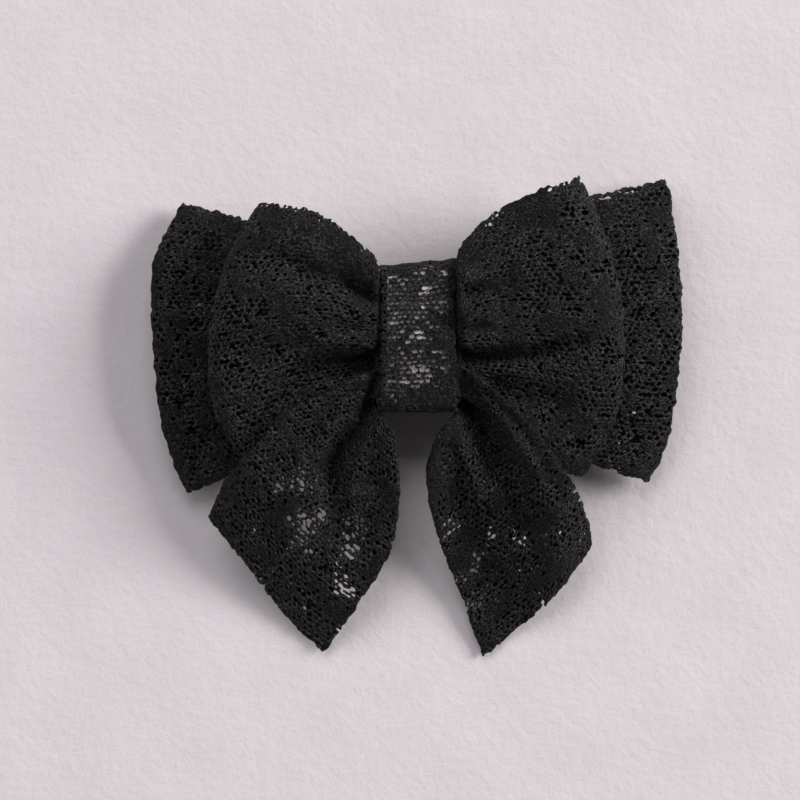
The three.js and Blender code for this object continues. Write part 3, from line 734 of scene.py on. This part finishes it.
def plain_cloth(name, points, along, across, edge, half):
    """A sheet with no holes in it, thinning to its edges."""
    thickness = mix(EDGE_THICK, half, np.sqrt(np.clip(edge, 0, YARN_ROUND) / YARN_ROUND))
    cloth = np.stack([along, across, np.clip(edge, 0, 2)], axis=2)
    mesh = fabric_mesh(name, points + PLAN_ORIGIN, edge, thickness, cloth, np.zeros_like(edge))
    return new_object(name, mesh)


def knot_satin():
    """The satin band under the knot's lace."""
    half_width = KNOT_HALF_WIDTH - SATIN_MARGIN
    points, places, along, across = knot_surface(SATIN_INSET, half_width, SATIN_CORNER, SATIN_STEP)
    from_sides = (1 - np.abs(across)) * half_width
    edge = np.minimum(from_sides, np.minimum(along, places[-1] - along)) - 0.1
    piece = plain_cloth(
        "knot_satin", points, along, across * half_width, edge, SATIN_HALF_THICK)
    return piece, places[-1], 2 * half_width


def felt_pad():
    """The felt strip that keeps the metal plate from cutting the lace."""
    low, high = node_box("clip_pad")
    length, width = (high - low)[:2]
    x_line = np.linspace(low[0], high[0], round(length / FELT_STEP) + 1)
    y_line = np.linspace(low[1], high[1], round(width / FELT_STEP) + 1)
    x, y = np.meshgrid(x_line, y_line, indexing="ij")
    z = np.full_like(x, (low[2] + high[2]) / 2)
    corner = 2.0
    beyond_x = np.abs(x - (low[0] + high[0]) / 2) - (length / 2 - corner)
    beyond_y = np.abs(y - (low[1] + high[1]) / 2) - (width / 2 - corner)
    outside = np.hypot(np.maximum(beyond_x, 0), np.maximum(beyond_y, 0))
    edge = corner - CLEARANCE - outside - np.minimum(np.maximum(beyond_x, beyond_y), 0)
    half = (high[2] - low[2]) / 2 - CLEARANCE
    points = np.stack([x, y, z], axis=-1) - PLAN_ORIGIN
    return plain_cloth("felt_pad", points, x, y, edge, half), length, width


# ---- threads ----

THREAD_RADIUS = 0.19
THREAD_SIDES = 8
THREAD_CORNER = 0.5        # radius of its path's corners round a gathered strip


def tube_mesh(name, path, radius, sides):
    """A round tube along a path, closed at both ends."""
    path = np.asarray(path)
    heading = np.gradient(path, axis=0)
    heading /= np.linalg.norm(heading, axis=1, keepdims=True)
    first = np.cross(heading, [1.0, 0.0, 0.0])
    first /= np.linalg.norm(first, axis=1, keepdims=True)
    second = np.cross(heading, first)
    angles = np.arange(sides) * 2 * math.pi / sides
    ring = first[:, None] * np.cos(angles)[:, None] + second[:, None] * np.sin(angles)[:, None]
    vertices = (path[:, None] + radius * ring).reshape(-1, 3)
    faces = []
    for i in range(len(path) - 1):
        for k in range(sides):
            following = (k + 1) % sides
            faces.append((i * sides + k, i * sides + following,
                          (i + 1) * sides + following, (i + 1) * sides + k))
    faces.append(tuple(reversed(range(sides))))
    faces.append(tuple(range((len(path) - 1) * sides, len(path) * sides)))
    mesh = bpy.data.meshes.new(name)
    mesh.from_pydata((vertices * MM).tolist(), [], faces)
    mesh.polygons.foreach_set("use_smooth", [True] * len(faces))
    mesh.update()
    return mesh


def wound_thread(name, node, turns=4):
    """Turns of thread side by side round one gathered strip."""
    radius = THREAD_RADIUS
    low, high = node_box(node)
    profile, _ = ring_profile(low[1:] + radius, high[1:] - radius, THREAD_CORNER, 80)
    path = []
    for turn in range(turns):
        for k, (y, z) in enumerate(profile[:-1]):
            x = mix(low[0] + radius, high[0] - radius, (turn + k / len(profile)) / turns)
            path.append((x, y, z))
    return new_object(name, tube_mesh(name, path, radius, THREAD_SIDES))


# ---- materials ----


def new_material(name):
    """A material with its node tree and its shader."""
    material = bpy.data.materials.new(name)
    material.use_nodes = True
    tree = material.node_tree
    return material, tree, tree.nodes["Principled BSDF"]


def add_node(tree, kind, source=None, **settings):
    """A new node, with its settings and plain inputs by name, reading source as its Vector."""
    node = tree.nodes.new(kind)
    for key, value in settings.items():
        if hasattr(node, key):
            setattr(node, key, value)
        else:
            node.inputs[key].default_value = value
    if source is not None:
        tree.links.new(source, node.inputs["Vector"])
    return node


def calculate(tree, operation, *values, kind="ShaderNodeMath"):
    """One math node: each value is a number, a vector or another node's output."""
    node = tree.nodes.new(kind)
    node.operation = operation
    for socket, value in zip(node.inputs, values):
        if isinstance(value, bpy.types.NodeSocket):
            tree.links.new(value, socket)
        else:
            socket.default_value = value
    return node.outputs[0]


def ease(tree, value, start, end, low=0.0, high=1.0):
    """Map a value smoothly from the range start to end onto the range low to high."""
    node = add_node(tree, "ShaderNodeMapRange", interpolation_type="SMOOTHSTEP")
    for name, number in (("From Min", start), ("From Max", end), ("To Min", low), ("To Max", high)):
        node.inputs[name].default_value = number
    tree.links.new(value, node.inputs["Value"])
    return node.outputs["Result"]


def colour_ramp(tree, factor, stops):
    """Colours between stops, each a place and a colour."""
    node = tree.nodes.new("ShaderNodeValToRGB")
    elements = node.color_ramp.elements
    while len(elements) < len(stops):
        elements.new(0.5)
    for element, (place, colour) in zip(elements, stops):
        element.position = place
        element.color = (*colour, 1)
    tree.links.new(factor, node.inputs["Fac"])
    return node.outputs["Color"]


def connect_bump(tree, shader, height, distance, strength=1.0):
    """Raise the surface by a height of 0 to 1, over a distance in metres."""
    bump = add_node(tree, "ShaderNodeBump", Strength=strength, Distance=distance)
    tree.links.new(height, bump.inputs["Height"])
    tree.links.new(bump.outputs[0], shader.inputs["Normal"])


def lace_material():
    """Black knit: looped yarns round dark gaps, looser where the lace is open, grainy where it isn't.
    The colour is lighter on the raised yarn loops and at the rims of the holes as a painted highlight,
    and darker in the gaps between loops as painted shade.
    """
    material, tree, shader = new_material("black_lace")
    cloth = add_node(tree, "ShaderNodeAttribute", attribute_name="cloth").outputs["Vector"]
    openness = add_node(tree, "ShaderNodeAttribute", attribute_name="openness").outputs["Fac"]
    split = tree.nodes.new("ShaderNodeSeparateXYZ")
    tree.links.new(cloth, split.inputs[0])
    rim = split.outputs[2]

    swirl = add_node(tree, "ShaderNodeTexNoise", cloth, Scale=0.9, Detail=2.0).outputs["Color"]
    drift = calculate(tree, "MULTIPLY", swirl, (1.5, 1.5, 0.0), kind="ShaderNodeVectorMath")
    place = calculate(tree, "ADD", cloth, drift, kind="ShaderNodeVectorMath")
    place = calculate(tree, "MULTIPLY", place, (1.0, 1.45, 0.0), kind="ShaderNodeVectorMath")
    loops = add_node(tree, "ShaderNodeTexVoronoi", place, feature="DISTANCE_TO_EDGE", Scale=0.95)
    yarn = ease(tree, loops.outputs["Distance"], 0.03, 0.30, 1.0, 0.0)
    grain = add_node(tree, "ShaderNodeTexNoise", place, Scale=1.9, Detail=3.0, Roughness=0.6).outputs[0]
    ply = add_node(tree, "ShaderNodeTexNoise", place, Scale=5.5, Detail=2.0).outputs[0]
    looseness = ease(tree, openness, 0.3, 0.6, 0.7, 1.0)

    loop_height = calculate(tree, "MULTIPLY", yarn, looseness)
    grain_height = calculate(tree, "ADD", grain, calculate(tree, "MULTIPLY", ply, 0.35))
    connect_bump(tree, shader, calculate(tree, "ADD", loop_height, grain_height), 0.00034)

    # Painted highlight and shade: the colour follows the loops' bump height, lighter on the raised yarns
    # and darker in the gaps between them.
    tone = calculate(tree, "MULTIPLY", loop_height, ease(tree, grain, 0.3, 0.72))
    painted_yarn_highlight = calculate(tree, "MULTIPLY", tone, 0.75)
    grain_tone = calculate(tree, "MULTIPLY", grain, 0.3)
    tone = calculate(tree, "ADD", painted_yarn_highlight, grain_tone)
    # Painted highlight: the colour is lightened next to each hole's edge, standing for glints on the
    # yarns that edge it.
    painted_rim_highlight = ease(tree, rim, 0.0, 0.35, 0.16, 0.0)
    tone = calculate(tree, "ADD", tone, painted_rim_highlight)
    colour = colour_ramp(tree, tone, [
        (0.14, (0.0010, 0.0009, 0.0010)),
        (0.42, (0.0085, 0.0079, 0.0081)),
        (0.88, (0.0700, 0.0670, 0.0680)),
    ])
    tree.links.new(colour, shader.inputs["Base Color"])
    shader.inputs["Roughness"].default_value = 0.62
    shader.inputs["Specular IOR Level"].default_value = 0.14
    shader.inputs["Sheen Weight"].default_value = 0.03
    shader.inputs["Sheen Roughness"].default_value = 0.4
    return material


def satin_material():
    """Pale pink-grey satin: fine warp threads, slight slubs and a soft gloss."""
    material, tree, shader = new_material("pale_satin")
    cloth = add_node(tree, "ShaderNodeAttribute", attribute_name="cloth").outputs["Vector"]
    stretched = calculate(tree, "MULTIPLY", cloth, (0.6, 7.0, 1.0), kind="ShaderNodeVectorMath")
    warp = add_node(tree, "ShaderNodeTexNoise", stretched, Scale=1.0, Detail=3.0).outputs[0]
    colour = colour_ramp(tree, warp, [(0.25, (0.40, 0.34, 0.35)), (0.75, (0.64, 0.57, 0.58))])
    tree.links.new(colour, shader.inputs["Base Color"])
    tree.links.new(ease(tree, warp, 0.2, 0.8, 0.34, 0.5), shader.inputs["Roughness"])
    connect_bump(tree, shader, warp, 0.00004)
    return material


def felt_material():
    """Black felt: matted short fibres."""
    material, tree, shader = new_material("black_felt")
    cloth = add_node(tree, "ShaderNodeAttribute", attribute_name="cloth").outputs["Vector"]
    fibres = add_node(
        tree, "ShaderNodeTexNoise", cloth, Scale=3.2, Detail=5.0, Distortion=1.4).outputs[0]
    colour = colour_ramp(tree, fibres, [(0.3, (0.006, 0.006, 0.006)), (0.75, (0.026, 0.025, 0.025))])
    tree.links.new(colour, shader.inputs["Base Color"])
    shader.inputs["Roughness"].default_value = 0.95
    shader.inputs["Sheen Weight"].default_value = 0.15
    connect_bump(tree, shader, fibres, 0.00025)
    return material


def thread_material():
    """Black sewing thread: two plies twisted round each other, with a slight gloss."""
    material, tree, shader = new_material("black_thread")
    place = tree.nodes.new("ShaderNodeTexCoord").outputs["Object"]
    twist = add_node(tree, "ShaderNodeTexWave", place, wave_type="BANDS", bands_direction="DIAGONAL",
                     Scale=900.0, Distortion=1.5).outputs["Fac"]
    colour = colour_ramp(tree, twist, [(0.2, (0.005, 0.005, 0.005)), (0.8, (0.03, 0.029, 0.029))])
    tree.links.new(colour, shader.inputs["Base Color"])
    shader.inputs["Roughness"].default_value = 0.5
    connect_bump(tree, shader, twist, 0.00006)
    return material


def metal_material(name, dark, light, smoothest, roughest, stretch):
    """Plated or rolled metal: faint lines along X, small handling marks and uneven gloss."""
    material, tree, shader = new_material(name)
    place = tree.nodes.new("ShaderNodeTexCoord").outputs["Object"]
    drawn = calculate(tree, "MULTIPLY", place, (stretch, 5000.0, 5000.0), kind="ShaderNodeVectorMath")
    lines = add_node(tree, "ShaderNodeTexNoise", drawn, Scale=1.0, Detail=2.0).outputs[0]
    marks = add_node(
        tree, "ShaderNodeTexNoise", place, Scale=420.0, Detail=5.0, Roughness=0.65).outputs[0]
    colour = colour_ramp(tree, marks, [(0.3, dark), (0.68, light)])
    tree.links.new(colour, shader.inputs["Base Color"])
    line_share = calculate(tree, "MULTIPLY", lines, 0.4)
    mark_share = calculate(tree, "MULTIPLY", marks, 0.6)
    rough = calculate(tree, "ADD", line_share, mark_share)
    tree.links.new(ease(tree, rough, 0.3, 0.7, smoothest, roughest), shader.inputs["Roughness"])
    shader.inputs["Metallic"].default_value = 1.0
    connect_bump(tree, shader, lines, 0.00001, 0.5)
    return material


def floor_material():
    """Pale rough plaster: shallow lumps, finer grain and a faint change of tone."""
    material, tree, shader = new_material("pale_floor")
    place = tree.nodes.new("ShaderNodeTexCoord").outputs["Object"]
    lumps = add_node(
        tree, "ShaderNodeTexNoise", place, Scale=400.0, Detail=6.0, Roughness=0.62).outputs[0]
    tone = add_node(tree, "ShaderNodeTexNoise", place, Scale=60.0, Detail=3.0).outputs[0]
    colour = colour_ramp(tree, tone, [(0.3, (0.672, 0.618, 0.645)), (0.7, (0.708, 0.655, 0.682))])
    tree.links.new(colour, shader.inputs["Base Color"])
    shader.inputs["Roughness"].default_value = 0.85
    shader.inputs["Specular IOR Level"].default_value = 0.2
    connect_bump(tree, shader, lumps, 0.0008, 0.42)
    return material


# ---- the bow ----

LACE = lace_material()
THREAD = thread_material()
NICKEL = metal_material("nickel_plate", (0.66, 0.65, 0.63), (0.76, 0.75, 0.73), 0.18, 0.3, 120.0)
SPRING_STEEL = metal_material("spring_steel", (0.40, 0.41, 0.42), (0.60, 0.61, 0.62), 0.26, 0.46, 60.0)


def dress(piece, material, slot, *nodes):
    """Give a soft piece its finish and its body, and hide the CAD nodes that it stands for."""
    piece.data.materials.append(material)
    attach(piece, "bow")
    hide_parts(*nodes)


for loop_name, loop in LOOPS.items():
    piece, length, width = bow_loop(loop_name, loop)
    dress(piece, LACE, "lace", loop["bow"] + "_bow")

for side, tail in TAILS.items():
    piece, length, width = tail_piece("tail_" + side, tail)
    dress(piece, LACE, "lace", "tails")

knot, length, width = knot_lace()
dress(knot, LACE, "lace", "knot_band")

satin, length, width = knot_satin()
dress(satin, satin_material(), "lining", "knot_lining")

felt, length, width = felt_pad()
dress(felt, felt_material(), "felt", "clip_pad")

for node in ("back_bow_thread", "front_bow_thread", "tail_thread"):
    dress(wound_thread("wound_" + node, node), THREAD, "thread", node)

for node in ("base_plate", "hinge_pin", "clasp_bar", "catch_rivet"):
    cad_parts[node].material_slots[0].material = NICKEL
for node in ("tension_spring", "catch_bracket", "catch_arm_left", "catch_arm_right"):
    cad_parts[node].material_slots[0].material = SPRING_STEEL

# ---- floor, lights and camera ----

bpy.ops.mesh.primitive_plane_add(size=12, location=(0, 0, 0))
floor = bpy.context.object
floor.name = "floor"
floor.data.materials.append(floor_material())


def area_light(name, place, size, power, colour):
    """A square soft light, aimed at the bow."""
    data = bpy.data.lights.new(name, "AREA")
    data.size = size
    data.energy = power
    data.color = colour
    light = bpy.data.objects.new(name, data)
    light.location = place
    aim = Vector((0, 0, 0.01)) - Vector(place)
    light.rotation_euler = aim.to_track_quat("-Z", "Y").to_euler()
    bpy.context.collection.objects.link(light)


area_light("window", (3.24, 1.0, 2.32), 2.0, 162.0, (1.0, 0.985, 0.975))
area_light("left_fill", (-3.2, 0.8, 3.5), 4.0, 54.0, (0.98, 0.98, 1.0))
area_light("top_fill", (-0.4, 2.8, 3.8), 2.6, 81.0, (0.98, 0.98, 1.0))

world = bpy.data.worlds.new("studio")
bpy.context.scene.world = world
world.use_nodes = True
background = world.node_tree.nodes["Background"]
background.inputs["Color"].default_value = (0.9, 0.88, 0.89, 1)
background.inputs["Strength"].default_value = 0.14

VIEW_WIDTH = 0.1805        # width of the view at the height of the front loops
VIEW_LEVEL = 0.018
VIEW_CENTRE = (-0.0035, 0.0040)
LENS = 220.0
SENSOR = 36.0
camera_data = bpy.data.cameras.new("camera")
camera_data.lens = LENS
camera_data.sensor_width = SENSOR
camera_data.clip_end = 10
camera = bpy.data.objects.new("camera", camera_data)
camera.location = (*VIEW_CENTRE, VIEW_LEVEL + VIEW_WIDTH * LENS / SENSOR)
bpy.context.collection.objects.link(camera)
bpy.context.scene.camera = camera
bpy.context.scene.view_settings.view_transform = "Standard"
